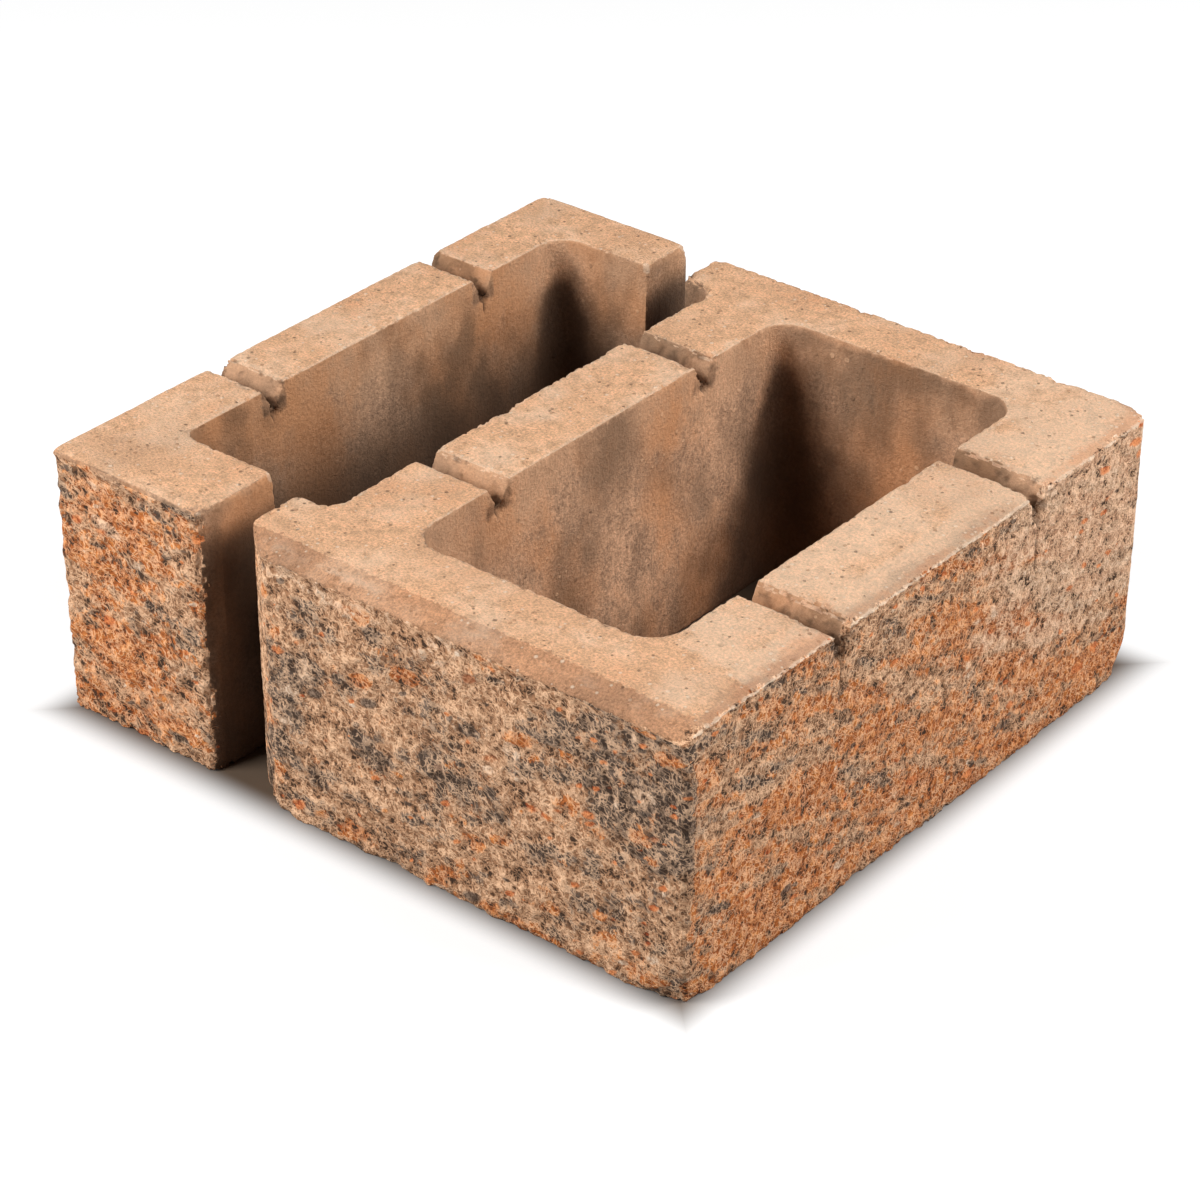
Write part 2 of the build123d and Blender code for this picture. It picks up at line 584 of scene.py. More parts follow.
class ClosedStains(Stains):
    """The front face, the right-hand face and the moulded rest of the closed half."""

    def __init__(self, casting):
        super().__init__(casting)
        x, y, z = self.x, self.y, self.z
        self.front = fall(6.0, 12.0, y)
        self.right = rise(self.width - 9.0, self.width - 6.0, x) * (1.0 - self.front)
        self.rest = 1.0 - np.maximum(self.front, self.right) * (self.down > 3.0)
        self.top = self.down < 1.25
        self.bevel = (y < BEVEL_DEPTH) & (self.down < 7.75)
        self.soft = self.clouds(48.0, 0.7, 0.7, 101)
        self.deep = self.clouds(42.0, 0.7, 0.6, 102)
        self.lean = slanted(self.points, 12.0, 1.9)
        self.level = np.column_stack((x * 0.3, y / 3.6, z + 0.30 * y))
        # Masks where light and shade are painted: the upper left of the front face, and the near and far
        # ends of the right-hand face
        self.upper_left = rise(118.0, 145.0, z) * fall(130.0, 240.0, x)
        self.near_end = fall(0.0, 230.0, y)
        self.far_end = rise(180.0, 330.0, y) * rise(30.0, 90.0, z)
        self.back = rise(CORE_REAR - 12.0, CORE_REAR - 4.0, y)
        self.back *= fall(CORE_REAR, CORE_REAR + 8.0, y)
        self.back *= rise(2.0, 6.0, self.down)

    def blend(self, front, right, rest):
        return self.front * front + self.right * right + self.rest * rest

    def rust(self):
        foot = fall(0.0, 30.0, self.z) * rise(60.0, 160.0, self.x)
        front = 0.20 + 0.22 * foot + 0.42 * fractal(self.lean, 15.0, 3, 103)
        front += 0.5 * clasts(self.lean, 11.0, 0.22, 104)
        right = 0.41 + 0.20 * (1.0 - self.z / self.height) + 0.04 * self.near_end
        right += 0.46 * fractal(self.level, 15.0, 3, 105) + 0.20 * clasts(self.level, 9.0, 0.25, 106)
        rest = 0.32 + 0.7 * self.soft
        rest += 0.42 * self.back * near_spot(self.points, (163.0, CORE_REAR, 82.0), (62.0, 40.0, 52.0))
        rust = np.where(self.top, 0.16 + 0.5 * self.soft, self.blend(front, right, rest))
        return np.where(self.bevel, 0.10 + 0.4 * self.soft, rust)

    def soot_and_painted_shade(self):
        low_right = rise(90.0, 230.0, self.x) * fall(60.0, 110.0, self.z)
        # The front face a little darker towards the lower right, and painted light making its upper left
        # less dark
        front = 0.37 + 0.05 * low_right - 0.14 * self.upper_left
        front += 0.42 * fractal(self.lean, 16.0, 3, 107) + 0.3 * clasts(self.lean, 9.0, 0.22, 108)
        for strength, middle, radii in CLOSED_DARK_SPOTS:
            front += strength * near_spot(self.points, middle, radii)
        # Painted shade at the near end of the right-hand face and painted light at its far end
        right = 0.30 + 0.12 * self.near_end - 0.28 * self.far_end
        right += 0.46 * fractal(self.level, 9.0, 3, 109) + 0.3 * clasts(self.level, 7.0, 0.2, 110)
        # Painted shade: the moulded walls darker towards the bottom and in the grooves
        rest = 0.28 + 1.2 * self.deep + 0.42 * self.back + 0.16 * rise(20.0, 110.0, self.down)
        rest = np.where(self.top, 0.2 + 0.5 * self.deep, rest) + 0.12 * self.in_groove
        return np.where(self.bevel, 0.42 + 0.6 * self.deep, self.blend(front, right, rest))

    def bloom_and_painted_light(self):
        # Painted light: the upper left of the front face and the far end of the right-hand face made paler,
        # and the band of the core walls below the top face
        front = 0.12 + 0.26 * self.upper_left + 0.30 * fractal(self.lean, 16.0, 3, 111)
        front += 0.7 * clasts(self.lean, 9.0, 0.08, 112)
        right = 0.16 + 0.66 * self.far_end + 0.30 * fractal(self.level, 14.0, 2, 113)
        rest = 0.3 + 0.4 * rise(200.0, 240.0, self.x) * (self.y > 60.0)
        rest += 0.5 * fractal(self.points, 30.0, 3, 114) + self.rim_light()
        return self.blend(front, right, rest)

    def painted_recess_shade(self):
        # Painted shade: the corner wedge, the joint faces of the tongue darker deeper into the gap between
        # the halves, and the groove roots
        joint = (self.x < TONGUE_REACH + 1.0) & (self.x / CHAMFER_ACROSS + self.y / CHAMFER_ALONG > 1.3)
        return np.maximum.reduce((
            self.corner_shade(CLOSED_CORE_SIDES[0], 0.55),
            0.8 * joint * rise(2.0, 40.0, self.down),
            self.groove_shade(),
        ))


class OpenStains(Stains):
    """The front face and the moulded rest of the open half."""

    def __init__(self, casting):
        super().__init__(casting)
        self.front = fall(6.0, 12.0, self.y) * (self.down > 2.0)
        self.rest = 1.0 - self.front
        self.top = self.down < 1.5
        self.depth = self.down / self.height
        self.soft = self.clouds(44.0, 0.8, 0.7, 201)
        self.deep = self.clouds(40.0, 0.8, 0.6, 202)
        self.lean = slanted(self.points, -12.0, 2.4)
        self.quiet = fall(8.0, 22.0, self.down)
        self.side = rise(60.0, 100.0, self.x)

    def blend(self, front, rest):
        return self.front * front + self.rest * rest

    def rust(self):
        front = 0.54 - 0.22 * self.quiet - 0.14 * self.side
        front += 0.42 * fractal(self.lean, 17.0, 3, 203) + 0.30 * clasts(self.lean, 12.0, 0.25, 204)
        rest = 0.55 + 0.7 * self.soft - 0.25 * self.in_groove
        return self.blend(front, np.where(self.top, 0.16 + 0.5 * self.soft, rest))

    def soot_and_painted_shade(self):
        front = 0.38 - 0.10 * self.quiet + 0.38 * fractal(self.lean, 12.0, 3, 205)
        front += 0.62 * clasts(self.lean, 10.0, 0.2, 206)
        # Painted shade: the moulded walls darker towards the bottom and in the grooves
        rest = 0.30 + 1.1 * self.deep + 0.1 * self.depth + 0.12 * self.in_groove
        return self.blend(front, np.where(self.top, 0.2 + 0.5 * self.deep, rest))

    def bloom_and_painted_light(self):
        front = 0.04 + 0.06 * self.side + 0.28 * fractal(self.lean, 15.0, 3, 207)
        front += 0.8 * clasts(self.lean, 14.0, 0.06, 208)
        # Painted light in the band of the bay walls below the top face
        rest = 0.35 + 0.5 * fractal(self.points, 30.0, 3, 209) + self.rim_light()
        return self.blend(front, rest)

    def painted_recess_shade(self):
        # Painted shade: the corner wedge, the bay darker towards the bottom, the arm's end face and lead
        # chamfer darker deeper into the gap between the halves, and the groove roots
        inside = (self.x > OPEN_BAY_SIDES[0] - 2.0) & (self.down > 1.5)
        joint = rise(self.width - 1.2, self.width - 0.6, self.x)
        joint *= rise(ARM_LEAD - 0.5, ARM_LEAD + 1.0, self.y)
        lead = rise(self.width - 4.5, self.width - 3.5, self.x) * (self.y < ARM_LEAD + 1.0)
        return np.maximum.reduce((
            self.corner_shade(OPEN_BAY_SIDES[0], 0.6),
            self.rest * rise(0.0, 0.7, self.depth) * inside,
            0.95 * joint * rise(4.0, 34.0, self.down),
            0.74 * lead * rise(0.0, 30.0, self.down),
            self.groove_shade(),
        ))


# Shader node groups

class Net:
    """Adds nodes to one tree and links them by value or socket."""

    def __init__(self, tree):
        self.tree = tree

    def node(self, kind, values=None, **properties):
        made = self.tree.nodes.new(kind)
        for name, value in properties.items():
            setattr(made, name, value)
        for key, value in (values or {}).items():
            self.feed(made.inputs[key], value)
        return made

    def feed(self, socket, value):
        if isinstance(value, bpy.types.NodeSocket):
            self.tree.links.new(value, socket)
        elif socket.type == "RGBA":
            socket.default_value = (*value, 1.0)
        else:
            socket.default_value = value

    def math(self, operation, first, second=0.0, third=0.0):
        return self.node("ShaderNodeMath", {0: first, 1: second, 2: third}, operation=operation).outputs[0]

    def times(self, first, second):
        return self.math("MULTIPLY", first, second)

    def ramp(self, value, low, high, to_low=0.0, to_high=1.0):
        """Even curve from to_low at low to to_high at high."""
        values = {"Value": value, "From Min": low, "From Max": high, "To Min": to_low, "To Max": to_high}
        return self.node("ShaderNodeMapRange", values, interpolation_type="SMOOTHSTEP").outputs["Result"]

    def mix(self, factor, first, second, blend="MIX"):
        values = {0: factor, 6: first, 7: second}
        return self.node("ShaderNodeMix", values, data_type="RGBA", blend_type=blend).outputs[2]

    def shade(self, colour, texture, darkest, lightest):
        """Colour times a tone that follows the texture."""
        return self.mix(1.0, colour, self.ramp(texture, 0.3, 0.7, darkest, lightest), "MULTIPLY")

    def noise(self, vector, size, detail, roughness):
        """Noise with features of the given size in metres."""
        scale = self.math("DIVIDE", 1.0, size) if isinstance(size, bpy.types.NodeSocket) else 1.0 / size
        values = {"Vector": vector, "Scale": scale, "Detail": detail, "Roughness": roughness}
        return self.node("ShaderNodeTexNoise", values).outputs["Fac"]

    def stretched(self, vector, stretch, turn=(0.0, 0.0, 0.0)):
        """Vector for a texture that is stretched along its axes, and then turned."""
        made = self.node("ShaderNodeMapping", {"Vector": vector, "Rotation": turn, "Scale": stretch},
                         vector_type="TEXTURE")
        return made.outputs[0]

    def stored(self, name):
        return self.node("ShaderNodeAttribute", attribute_name=name).outputs["Fac"]

    def group(self, name, values):
        return self.node("ShaderNodeGroup", values, node_tree=shared_group(name))

    def seen(self):
        """1 for what the camera sees, directly or in a gloss, and 0 for light on the way."""
        path = self.node("ShaderNodeLightPath")
        return self.math("MAXIMUM", path.outputs["Is Camera Ray"], path.outputs["Is Glossy Ray"])


def cleared(owner):
    """Net of the emptied node tree of a new material or world."""
    owner.use_nodes = True
    owner.node_tree.nodes.clear()
    return Net(owner.node_tree)


def new_group(name, inputs, outputs):
    """Node group that gives numbers, its net and its inputs. None as a default makes a vector."""
    group = bpy.data.node_groups.new(name, "ShaderNodeTree")
    for label, default in inputs.items():
        kind = "NodeSocketVector" if default is None else "NodeSocketFloat"
        socket = group.interface.new_socket(name=label, in_out="INPUT", socket_type=kind)
        if default is not None:
            socket.default_value = default
    for label in outputs:
        group.interface.new_socket(name=label, in_out="OUTPUT", socket_type="NodeSocketFloat")
    net = Net(group)
    return group, net, net.node("NodeGroupInput").outputs


def patches_group():
    """Pigment patches: the stored amount, broken up by noise at its rim."""
    inputs = {"Amount": 0.0, "Texture": 0.5, "Raggedness": 0.8, "Softness": 0.1}
    group, net, source = new_group("Pigment patches", inputs, ["Mask"])
    centred = net.math("SUBTRACT", source["Texture"], 0.5)
    ragged = net.math("MULTIPLY_ADD", centred, source["Raggedness"], source["Amount"])
    low = net.math("SUBTRACT", 0.5, source["Softness"])
    high = net.math("ADD", 0.5, source["Softness"])
    net.node("NodeGroupOutput", {"Mask": net.ramp(ragged, low, high)})
    return group


def grit_group():
    """Single grains scattered in finer stuff, with a random tone for each. Size is in metres."""
    inputs = {"Vector": None, "Size": 0.003, "Share": 0.15}
    group, net, source = new_group("Grit", inputs, ["Mask", "Tone"])
    scale = net.math("DIVIDE", 1.0, source["Size"])
    cells = net.node("ShaderNodeTexVoronoi", {"Vector": source["Vector"], "Scale": scale})
    parts = net.node("ShaderNodeSeparateColor", {"Color": cells.outputs["Color"]})
    chosen = net.math("LESS_THAN", parts.outputs[0], source["Share"])
    radius = net.math("MULTIPLY_ADD", parts.outputs[1], 0.25, 0.18)
    disc = net.ramp(cells.outputs["Distance"], radius, net.times(radius, 0.55))
    mask = net.times(chosen, disc)
    net.node("NodeGroupOutput", {"Mask": mask, "Tone": parts.outputs[2]})
    return group


def broken_group():
    """Broken face: light strings of torn mortar over darker hollows. Size is in metres."""
    inputs = {"Vector": None, "Size": 0.003}
    group, net, source = new_group("Torn mortar", inputs, ["Light", "Fine", "Strings"])
    strings = []
    long_size = net.times(source["Size"], 1.4)
    for turn in ((-0.5, -0.55, 0.0), (0.9, 0.95, 0.0), (0.2, 1.9, 0.4)):
        drawn = net.stretched(source["Vector"], (1.0, 1.0, 3.6), turn)
        raw = net.noise(drawn, long_size, 2.0, 0.5)
        ridge = net.math("ABSOLUTE", net.math("SUBTRACT", raw, 0.5))
        strings.append(net.ramp(ridge, 0.05, 0.0))
    fine = net.noise(source["Vector"], net.times(source["Size"], 1.5), 4.0, 0.72)
    strings_top = net.math("MAXIMUM", net.math("MAXIMUM", strings[0], strings[1]), strings[2])
    light = net.math("MULTIPLY_ADD", strings_top, 0.42, net.ramp(fine, 0.36, 0.68, 0.0, 0.66))
    net.node("NodeGroupOutput", {"Light": light, "Fine": fine, "Strings": strings_top})
    return group


def wear_group():
    """Pale worn arris, broken up where a texture is low."""
    inputs = {"Edge": 0.0, "Texture": 0.5, "Level": 0.5}
    group, net, source = new_group("Edge wear", inputs, ["Mask"])
    joined = net.times(source["Edge"], net.times(source["Texture"], 2.0))
    high = net.math("ADD", source["Level"], 0.3)
    net.node("NodeGroupOutput", {"Mask": net.ramp(joined, source["Level"], high)})
    return group


GROUPS = {
    "Pigment patches": patches_group,
    "Grit": grit_group,
    "Torn mortar": broken_group,
    "Edge wear": wear_group,
}


def shared_group(name):
    """The node group of that name, made when it is first asked for."""
    return bpy.data.node_groups.get(name) or GROUPS[name]()


# Materials

def start_material(name):
    material = bpy.data.materials.new(name)
    net = cleared(material)
    values = {"Roughness": ROUGHNESS, "Specular IOR Level": SPECULAR}
    shader = net.node("ShaderNodeBsdfPrincipled", values)
    net.node("ShaderNodeOutputMaterial", {"Surface": shader.outputs[0]})
    place = net.node("ShaderNodeTexCoord").outputs["Object"]
    return material, net, shader, place


def finish_material(net, shader, colour, height, depth):
    """Colour, and a bump of the given depth in metres."""
    bump = net.node("ShaderNodeBump", {"Height": height, "Distance": depth, "Strength": 1.0})
    net.feed(shader.inputs["Base Color"], colour)
    net.feed(shader.inputs["Normal"], bump.outputs[0])


def add_stain(net, colour, key, texture, ragged, soft, share, tint):
    """Lays a stored pigment over a colour."""
    values = {"Amount": net.stored(key), "Texture": texture, "Raggedness": ragged, "Softness": soft}
    patch = net.group("Pigment patches", values)
    return net.mix(net.times(patch.outputs[0], share), colour, tint)


def add_grit(net, colour, vector, size, share, strength, dark, pale):
    """Scatters single grains over a colour, about as many dark as pale."""
    grit = net.group("Grit", {"Vector": vector, "Size": size, "Share": share})
    tone = net.mix(net.ramp(grit.outputs["Tone"], 0.4, 0.5), dark, pale)
    mask = grit.outputs["Mask"]
    return net.mix(net.times(mask, strength), colour, tone), mask


def add_wear_and_hole_shade(net, colours, colour, texture, level, share):
    """Paints shade in holes and cracks, and lightens worn edges."""
    hole = net.times(net.stored("crack"), 0.85)
    colour = net.mix(hole, colour, colours.pit_shade)
    values = {"Edge": net.stored("edge"), "Texture": texture, "Level": level}
    worn = net.group("Edge wear", values)
    return net.mix(net.times(worn.outputs["Mask"], share), colour, colours.pale)


def bed_material(name, colours, base, strength):
    """Fine sandy face of the top, the underside and the bevel. Strength is that of its stains."""
    material, net, shader, place = start_material(name)
    mottle = net.noise(place, BED_MOTTLE, 4.0, 0.75)
    sand = net.noise(place, BED_SAND, 3.0, 0.75)
    colour = net.shade(base, sand, 1.0 - 0.32 * strength, 1.20)
    colour = net.shade(colour, mottle, 0.80, 1.18)
    colour = add_stain(net, colour, "bloom_and_painted_light", mottle, 0.7, 0.3, 0.3, colours.pale)
    colour = add_stain(net, colour, "rust", mottle, 1.3, 0.3, 0.32 * strength, colours.rust)
    colour = add_stain(net, colour, "soot_and_painted_shade", mottle, 1.3, 0.3, 0.26 * strength, colours.charcoal)
    colour, crumbs = add_grit(net, colour, place, 0.0034, 0.28, 0.54, colours.shade, colours.pale)
    # Painted shade: dark specks over small dents of the bump
    colour, pits = add_grit(net, colour, place, 0.0030, 0.07, 0.55, colours.pit_shade, colours.shade)
    colour = add_wear_and_hole_shade(net, colours, colour, mottle, 0.6, 0.4)
    height = net.math("MULTIPLY_ADD", crumbs, 0.35, sand)
    height = net.math("MULTIPLY_ADD", pits, -0.7, height)
    finish_material(net, shader, colour, height, 0.0018)
    return material


def split_tones(net, colours, light):
    """Mortar, dark, orange and pale stone, and red grains, each mixed between painted shade and painted
    light, following the light of the relief.
    """
    def stone(low, high):
        dark = net.mix(net.ramp(light, -0.08, 0.32), colours.pit_shade, low)
        return net.mix(net.ramp(light, 0.22, 1.28), dark, high)

    red = net.mix(net.ramp(light, -0.2, 0.9), *RED_GRAIN)
    return {"mortar": stone(colours.shade, colours.mortar), "soot_and_painted_shade": stone(*DARK_STONE),
            "rust": stone(*ORANGE_STONE), "bloom_and_painted_light": stone(*PALE_STONE), "red": red}


def add_stones(net, colour, place, fine, tones):
    """Scatters red, dark and pale stones of two sizes that lie flat along a slant."""
    bend = net.node("ShaderNodeVectorMath", {0: fine, "Scale": 0.004}, operation="SCALE")
    bent = net.node("ShaderNodeVectorMath", {0: place, 1: bend.outputs[0]}, operation="ADD")
    flat = net.stretched(bent.outputs[0], (1.9, 1.9, 1.0), (-0.25, -0.3, 0.0))
    for size in STONE_SIZES:
        grit = net.group("Grit", {"Vector": flat, "Size": size, "Share": 0.20})
        tone = net.mix(net.ramp(grit.outputs["Tone"], 0.60, 0.61), tones["red"], tones["soot_and_painted_shade"])
        tone = net.mix(net.ramp(grit.outputs["Tone"], 0.78, 0.79), tone, tones["bloom_and_painted_light"])
        colour = net.mix(net.times(grit.outputs["Mask"], 0.85), colour, tone)
    return colour


def split_material(name, colours, grain):
    """Broken face: torn mortar with orange, dark and pale patches and stones."""
    material, net, shader, place = start_material(name)
    torn = net.group("Torn mortar", {"Vector": place, "Size": grain})
    blotch = net.noise(place, BLOTCH, 3.0, 0.7)
    # Painted shade: the deeper fine relief, stored as tip, darkens the tones
    light = net.math("MULTIPLY_ADD", net.stored("tip"), -0.30, torn.outputs["Light"])
    light = net.math("MULTIPLY_ADD", net.math("SUBTRACT", blotch, 0.48), 1.5, light)
    tones = split_tones(net, colours, light)
    fine = torn.outputs["Fine"]
    texture = net.math("MULTIPLY_ADD", fine, 0.45, net.times(blotch, 0.55))
    colour = tones["mortar"]
    # The dark and pale stored values carry painted shade and painted light as well as pigment
    for key, share, ragged in (("soot_and_painted_shade", 0.93, 1.6), ("rust", 0.92, 1.7), ("bloom_and_painted_light", 0.65, 1.3)):
        colour = add_stain(net, colour, key, texture, ragged, 0.1, share, tones[key])
    strength = net.ramp(blotch, 0.38, 0.60, 0.15, 0.62)
    threads = net.times(torn.outputs["Strings"], strength)
    colour = net.mix(threads, colour, colours.mortar)
    colour = add_stones(net, colour, place, fine, tones)
    colour = add_wear_and_hole_shade(net, colours, colour, blotch, 0.72, 0.6)
    height = net.math("MULTIPLY_ADD", torn.outputs["Light"], 0.5, blotch)
    finish_material(net, shader, colour, height, 0.0013)
    return material


def wall_material(name, colours):
    """Moulded wall with drag lines down it and soft pigment clouds."""
    material, net, shader, place = start_material(name)
    streaks = net.noise(net.stretched(place, (1.0, 1.0, 6.0)), WALL_STREAK, 3.0, 0.7)
    mottle = net.noise(net.stretched(place, (1.0, 1.0, 1.3)), WALL_MOTTLE, 5.0, 0.74)
    sand = net.noise(place, WALL_SAND, 3.0, 0.8)
    colour = net.shade(colours.wall, streaks, 0.92, 1.06)
    colour = net.shade(colour, sand, 0.62, 1.36)
    colour = net.shade(colour, mottle, 0.66, 1.28)
    texture = net.math("MULTIPLY_ADD", streaks, 0.1, net.times(mottle, 0.9))
    # Pale bloom, with painted light, from the stored values
    colour = add_stain(net, colour, "bloom_and_painted_light", texture, 1.0, 0.45, 0.5, colours.bed)
    colour = add_stain(net, colour, "rust", texture, 1.3, 0.42, 0.55, colours.ochre)
    # Dark pigment, with painted shade, from the stored values
    colour = add_stain(net, colour, "soot_and_painted_shade", texture, 1.6, 0.40, 0.62, colours.umber)
    colour, grains = add_grit(net, colour, place, 0.0050, 0.06, 0.35, colours.umber, colours.mortar)
    # Painted shade of recesses and gaps, mixed towards the near-black pit colour
    painted_recess_shade = net.ramp(net.math("MULTIPLY_ADD", mottle, 0.3, net.stored("painted_recess_shade")), 0.1, 1.1)
    colour = net.mix(net.times(painted_recess_shade, 0.85), colour, colours.pit_shade)
    colour = add_wear_and_hole_shade(net, colours, colour, mottle, 0.55, 0.3)
    height = net.math("MULTIPLY_ADD", streaks, 0.6, sand)
    height = net.math("MULTIPLY_ADD", grains, 0.3, height)
    finish_material(net, shader, colour, height, 0.0011)
    return material


def dress(casting, prefix, grain, node):
    """Puts the concrete on a finished casting and seats it in the frame."""
    colours = bpy.context.scene.pillar_colours
    for material in (
        bed_material(prefix + "_bed", colours, colours.bed, 1.0),
        split_material(prefix + "_split", colours, grain),
        wall_material(prefix + "_wall", colours),
        bed_material(prefix + "_bevel", colours, colours.bevel, 1.1),
    ):
        casting.piece.data.materials.append(material)
    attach(casting.piece, ROOT_BODY)
    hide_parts(node)


# Operators

def start_zones(middles, normals, size):
    """Moulded wall all over with bed faces at the top and the bottom, and what clears the floor."""
    z = middles[:, 2]
    level = np.abs(normals[:, 2]) > LEVEL_NORMAL
    zones = np.where(level & ((z > size[2] - 4.0) | (z < 3.0)), BED, WALL)
    return zones, (z > 1.2) | (normals[:, 2] > -LEVEL_NORMAL)


def closed_zones(middles, normals, size):
    zones, above_floor = start_zones(middles, normals, size)
    x, y, z = middles.T
    line = size[2] - clear_at(CLOSED_CLEAR, x) - 0.4 + fractal(middles * (1.0, 0.0, 1.0), 7.0, 2, 401)
    zones[(z > line) & (y < BEVEL_DEPTH)] = BEVEL
    chamfer = x / CHAMFER_ACROSS + y / CHAMFER_ALONG < 1.25
    front = ((y < 9.0) | chamfer) & (z < line)
    right = (x > size[0] - 7.0) & (z < size[2] - 2.4)
    zones[(front | right) & above_floor] = SPLIT
    return zones


def open_zones(middles, normals, size):
    zones, above_floor = start_zones(middles, normals, size)
    x, y, z = middles.T
    line = size[2] - clear_at(OPEN_CLEAR, x) + 1.2 * fractal(middles * (1.0, 0.0, 1.0), 7.0, 2, 402)
    front = (y < 9.0) & (z < line) & (normals[:, 0] < 0.75)
    zones[front & above_floor] = SPLIT
    return zones


class PILLAR_OT_closed_half(bpy.types.Operator):
    """Make the closed half with its split faces, grooves and worn tongues"""

    bl_idname = "pillar.closed_half"
    bl_label = "Closed half"

    def execute(self, context):
        surface = context.scene.pillar_surface
        casting = Casting(CLOSED_NODE, "closed_half_casting", CLOSED_CORE_SIDES, surface)
        width, length, height = casting.size
        casting.roughen(seed=31)
        casting.chip_edges(seed=35)
        casting.tear_grooves(seed=39)
        for line in GROOVE_LINES:
            casting.cut_crack(line, CLOSED_CORE_SIDES[0], length=10.0, seed=line)
            casting.cut_crack(line, width, length=44.0, seed=line + 1.0)
            casting.hollow((width - 3.0, line, height - 14.0), (11.0, 7.0, 8.0), depth=5.5, seed=line + 2.0)
            casting.break_inner_end(line, CLOSED_CORE_SIDES[0])
        casting.split_front(3, CLOSED_CLEAR)
        casting.split_right(11, 1.6)
        casting.lower_margin(drop=1.5)
        casting.break_corner((width, 0.0, 0.0), radius=30.0, depth=6.0)
        casting.break_corner((width, length, 0.0), radius=24.0, depth=7.0)
        casting.polish_edges()
        casting.finish()
        casting.zone_faces(closed_zones)
        ClosedStains(casting).store()
        dress(casting, "closed", CLOSED_GRAIN, CLOSED_NODE)
        return {"FINISHED"}


class PILLAR_OT_open_half(bpy.types.Operator):
    """Make the open half with its split front, grooves and arms"""

    bl_idname = "pillar.open_half"
    bl_label = "Open half"

    def execute(self, context):
        casting = Casting(OPEN_NODE, "open_half_casting", OPEN_BAY_SIDES, context.scene.pillar_surface)
        casting.roughen(seed=71)
        casting.chip_edges(seed=75)
        casting.tear_grooves(seed=79)
        for line in GROOVE_LINES:
            casting.cut_crack(line, OPEN_BAY_SIDES[0], length=10.0, seed=line + 3.0)
            casting.break_inner_end(line, OPEN_BAY_SIDES[0])
        casting.split_front(53, OPEN_CLEAR)
        casting.polish_edges()
        casting.finish()
        casting.zone_faces(open_zones)
        OpenStains(casting).store()
        dress(casting, "open", OPEN_GRAIN, OPEN_NODE)
        return {"FINISHED"}


def seat(azimuth, elevation, distance):
    """Place at a distance from the middle. Azimuth turns from the front face towards the right."""
    flat = math.cos(elevation) * distance
    return Vector((math.sin(azimuth) * flat, -math.cos(azimuth) * flat, math.sin(elevation) * distance))


def aim_at(thing, target):
    thing.rotation_euler = (Vector(target) - thing.location).to_track_quat("-Z", "Y").to_euler()


def soft_light(name, azimuth, elevation, power):
    """Square lamp that looks at the block, with its angles in degrees."""
    data = bpy.data.lights.new(name, "AREA")
    data.shape = "SQUARE"
    data.size = LAMP_SIDE
    data.energy = power
    light = bpy.data.objects.new(name, data)
    light.location = seat(math.radians(azimuth), math.radians(elevation), LAMP_DISTANCE)
    bpy.context.scene.collection.objects.link(light)
    aim_at(light, LAMP_AIM)


def floor_material():
    """Pale floor with the block's shadow. It glows a little for the camera, but not under the block, where
    it is painted dark brown as painted shade.
    """
    material = bpy.data.materials.new("studio_floor")
    net = cleared(material)
    place = net.node("ShaderNodeSeparateXYZ", {0: net.node("ShaderNodeTexCoord").outputs["Object"]})
    off = [net.math("SUBTRACT", net.math("ABSOLUTE", place.outputs[axis]), side)
           for axis, side in enumerate(SHADED_SIDES)]
    clear = net.ramp(net.math("MAXIMUM", off[0], off[1]), 0.0, SHADE_FADE)
    # Painted shade: the floor under the block takes the dark brown tone
    lit = net.node("ShaderNodeBsdfDiffuse", {"Color": net.mix(clear, SHADED_TONE, FLOOR_TONE)})
    strength = net.times(net.times(net.seen(), clear), FLOOR_GLOW)
    glow = net.node("ShaderNodeEmission", {"Color": WHITE, "Strength": strength})
    both = net.node("ShaderNodeAddShader", {0: lit.outputs[0], 1: glow.outputs[0]})
    net.node("ShaderNodeOutputMaterial", {"Surface": both.outputs[0]})
    return material


def white_world():
    world = bpy.data.worlds.new("studio_world")
    net = cleared(world)
    strength = net.ramp(net.seen(), 0.0, 1.0, AMBIENT, 1.0)
    background = net.node("ShaderNodeBackground", {"Color": WHITE, "Strength": strength})
    net.node("ShaderNodeOutputWorld", {"Surface": background.outputs[0]})
    bpy.context.scene.world = world


def make_floor():
    work = bmesh.new()
    bmesh.ops.create_grid(work, x_segments=1, y_segments=1, size=FLOOR_HALF_SIDE)
    mesh = bpy.data.meshes.new("studio_floor")
    work.to_mesh(mesh)
    work.free()
    floor = bpy.data.objects.new("studio_floor", mesh)
    bpy.context.scene.collection.objects.link(floor)
    floor.data.materials.append(floor_material())


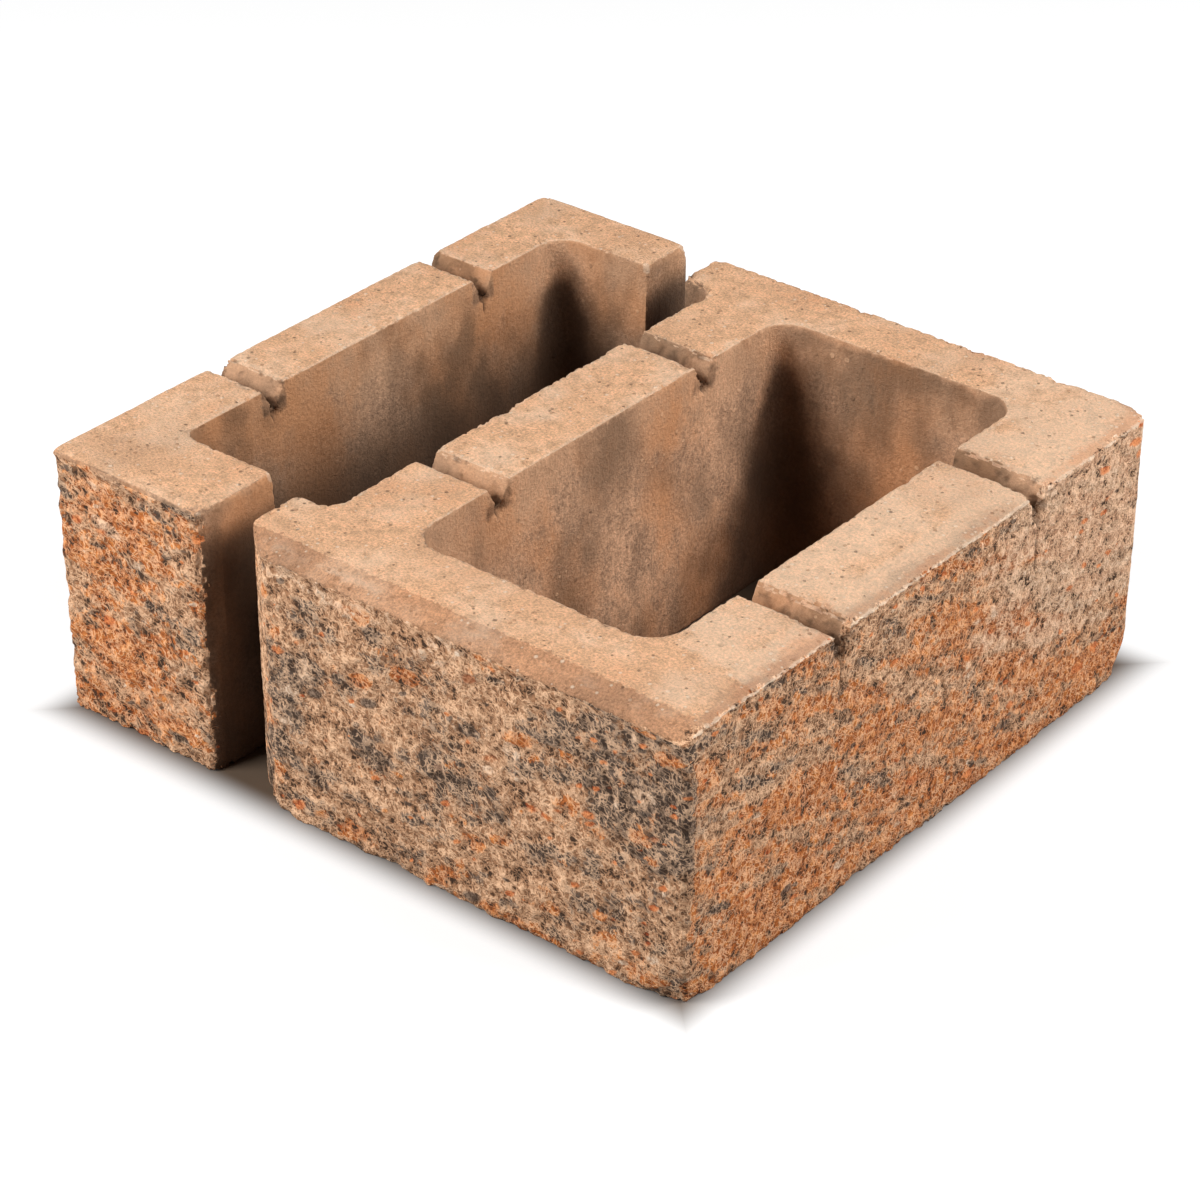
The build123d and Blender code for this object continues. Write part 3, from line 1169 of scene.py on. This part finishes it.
class PILLAR_OT_stage(bpy.types.Operator):
    """Set the floor, the soft lights and the camera"""

    bl_idname = "pillar.stage"
    bl_label = "Stage"

    def execute(self, context):
        stage = context.scene.pillar_stage
        make_floor()
        white_world()
        for lamp in LAMPS:
            soft_light(*lamp)
        data = bpy.data.cameras.new("photo_camera")
        data.sensor_width = SENSOR_WIDTH
        data.lens = stage.lens
        camera = bpy.data.objects.new("photo_camera", data)
        aim = Vector(stage.aim)
        camera.location = aim + seat(stage.azimuth, stage.elevation, stage.distance)
        context.scene.collection.objects.link(camera)
        aim_at(camera, aim)
        context.scene.camera = camera
        context.scene.view_settings.view_transform = "Standard"
        return {"FINISHED"}


class PILLAR_PT_panel(bpy.types.Panel):
    """Lists the pieces and the stage"""

    bl_idname = "PILLAR_PT_panel"
    bl_label = "Pillar block"
    bl_space_type = "VIEW_3D"
    bl_region_type = "UI"
    bl_category = "Pillar Block"

    def draw(self, context):
        layout = self.layout
        for operator in OPERATORS:
            layout.operator(operator.bl_idname)
        scene = context.scene
        for owner in (scene.pillar_surface, scene.pillar_colours, scene.pillar_stage):
            box = layout.box()
            for name in owner.__annotations__:
                box.prop(owner, name)


OPERATORS = (PILLAR_OT_closed_half, PILLAR_OT_open_half, PILLAR_OT_stage)
CLASSES = (PillarSurface, PillarColours, PillarStage, *OPERATORS, PILLAR_PT_panel)


def register():
    for item in CLASSES:
        bpy.utils.register_class(item)
    bpy.types.Scene.pillar_surface = bpy.props.PointerProperty(type=PillarSurface)
    bpy.types.Scene.pillar_colours = bpy.props.PointerProperty(type=PillarColours)
    bpy.types.Scene.pillar_stage = bpy.props.PointerProperty(type=PillarStage)


def unregister():
    del bpy.types.Scene.pillar_surface
    del bpy.types.Scene.pillar_colours
    del bpy.types.Scene.pillar_stage
    for item in reversed(CLASSES):
        bpy.utils.unregister_class(item)


def main():
    register()
    bpy.ops.pillar.closed_half()
    bpy.ops.pillar.open_half()
    bpy.ops.pillar.stage()


if __name__ == "__main__":
    main()
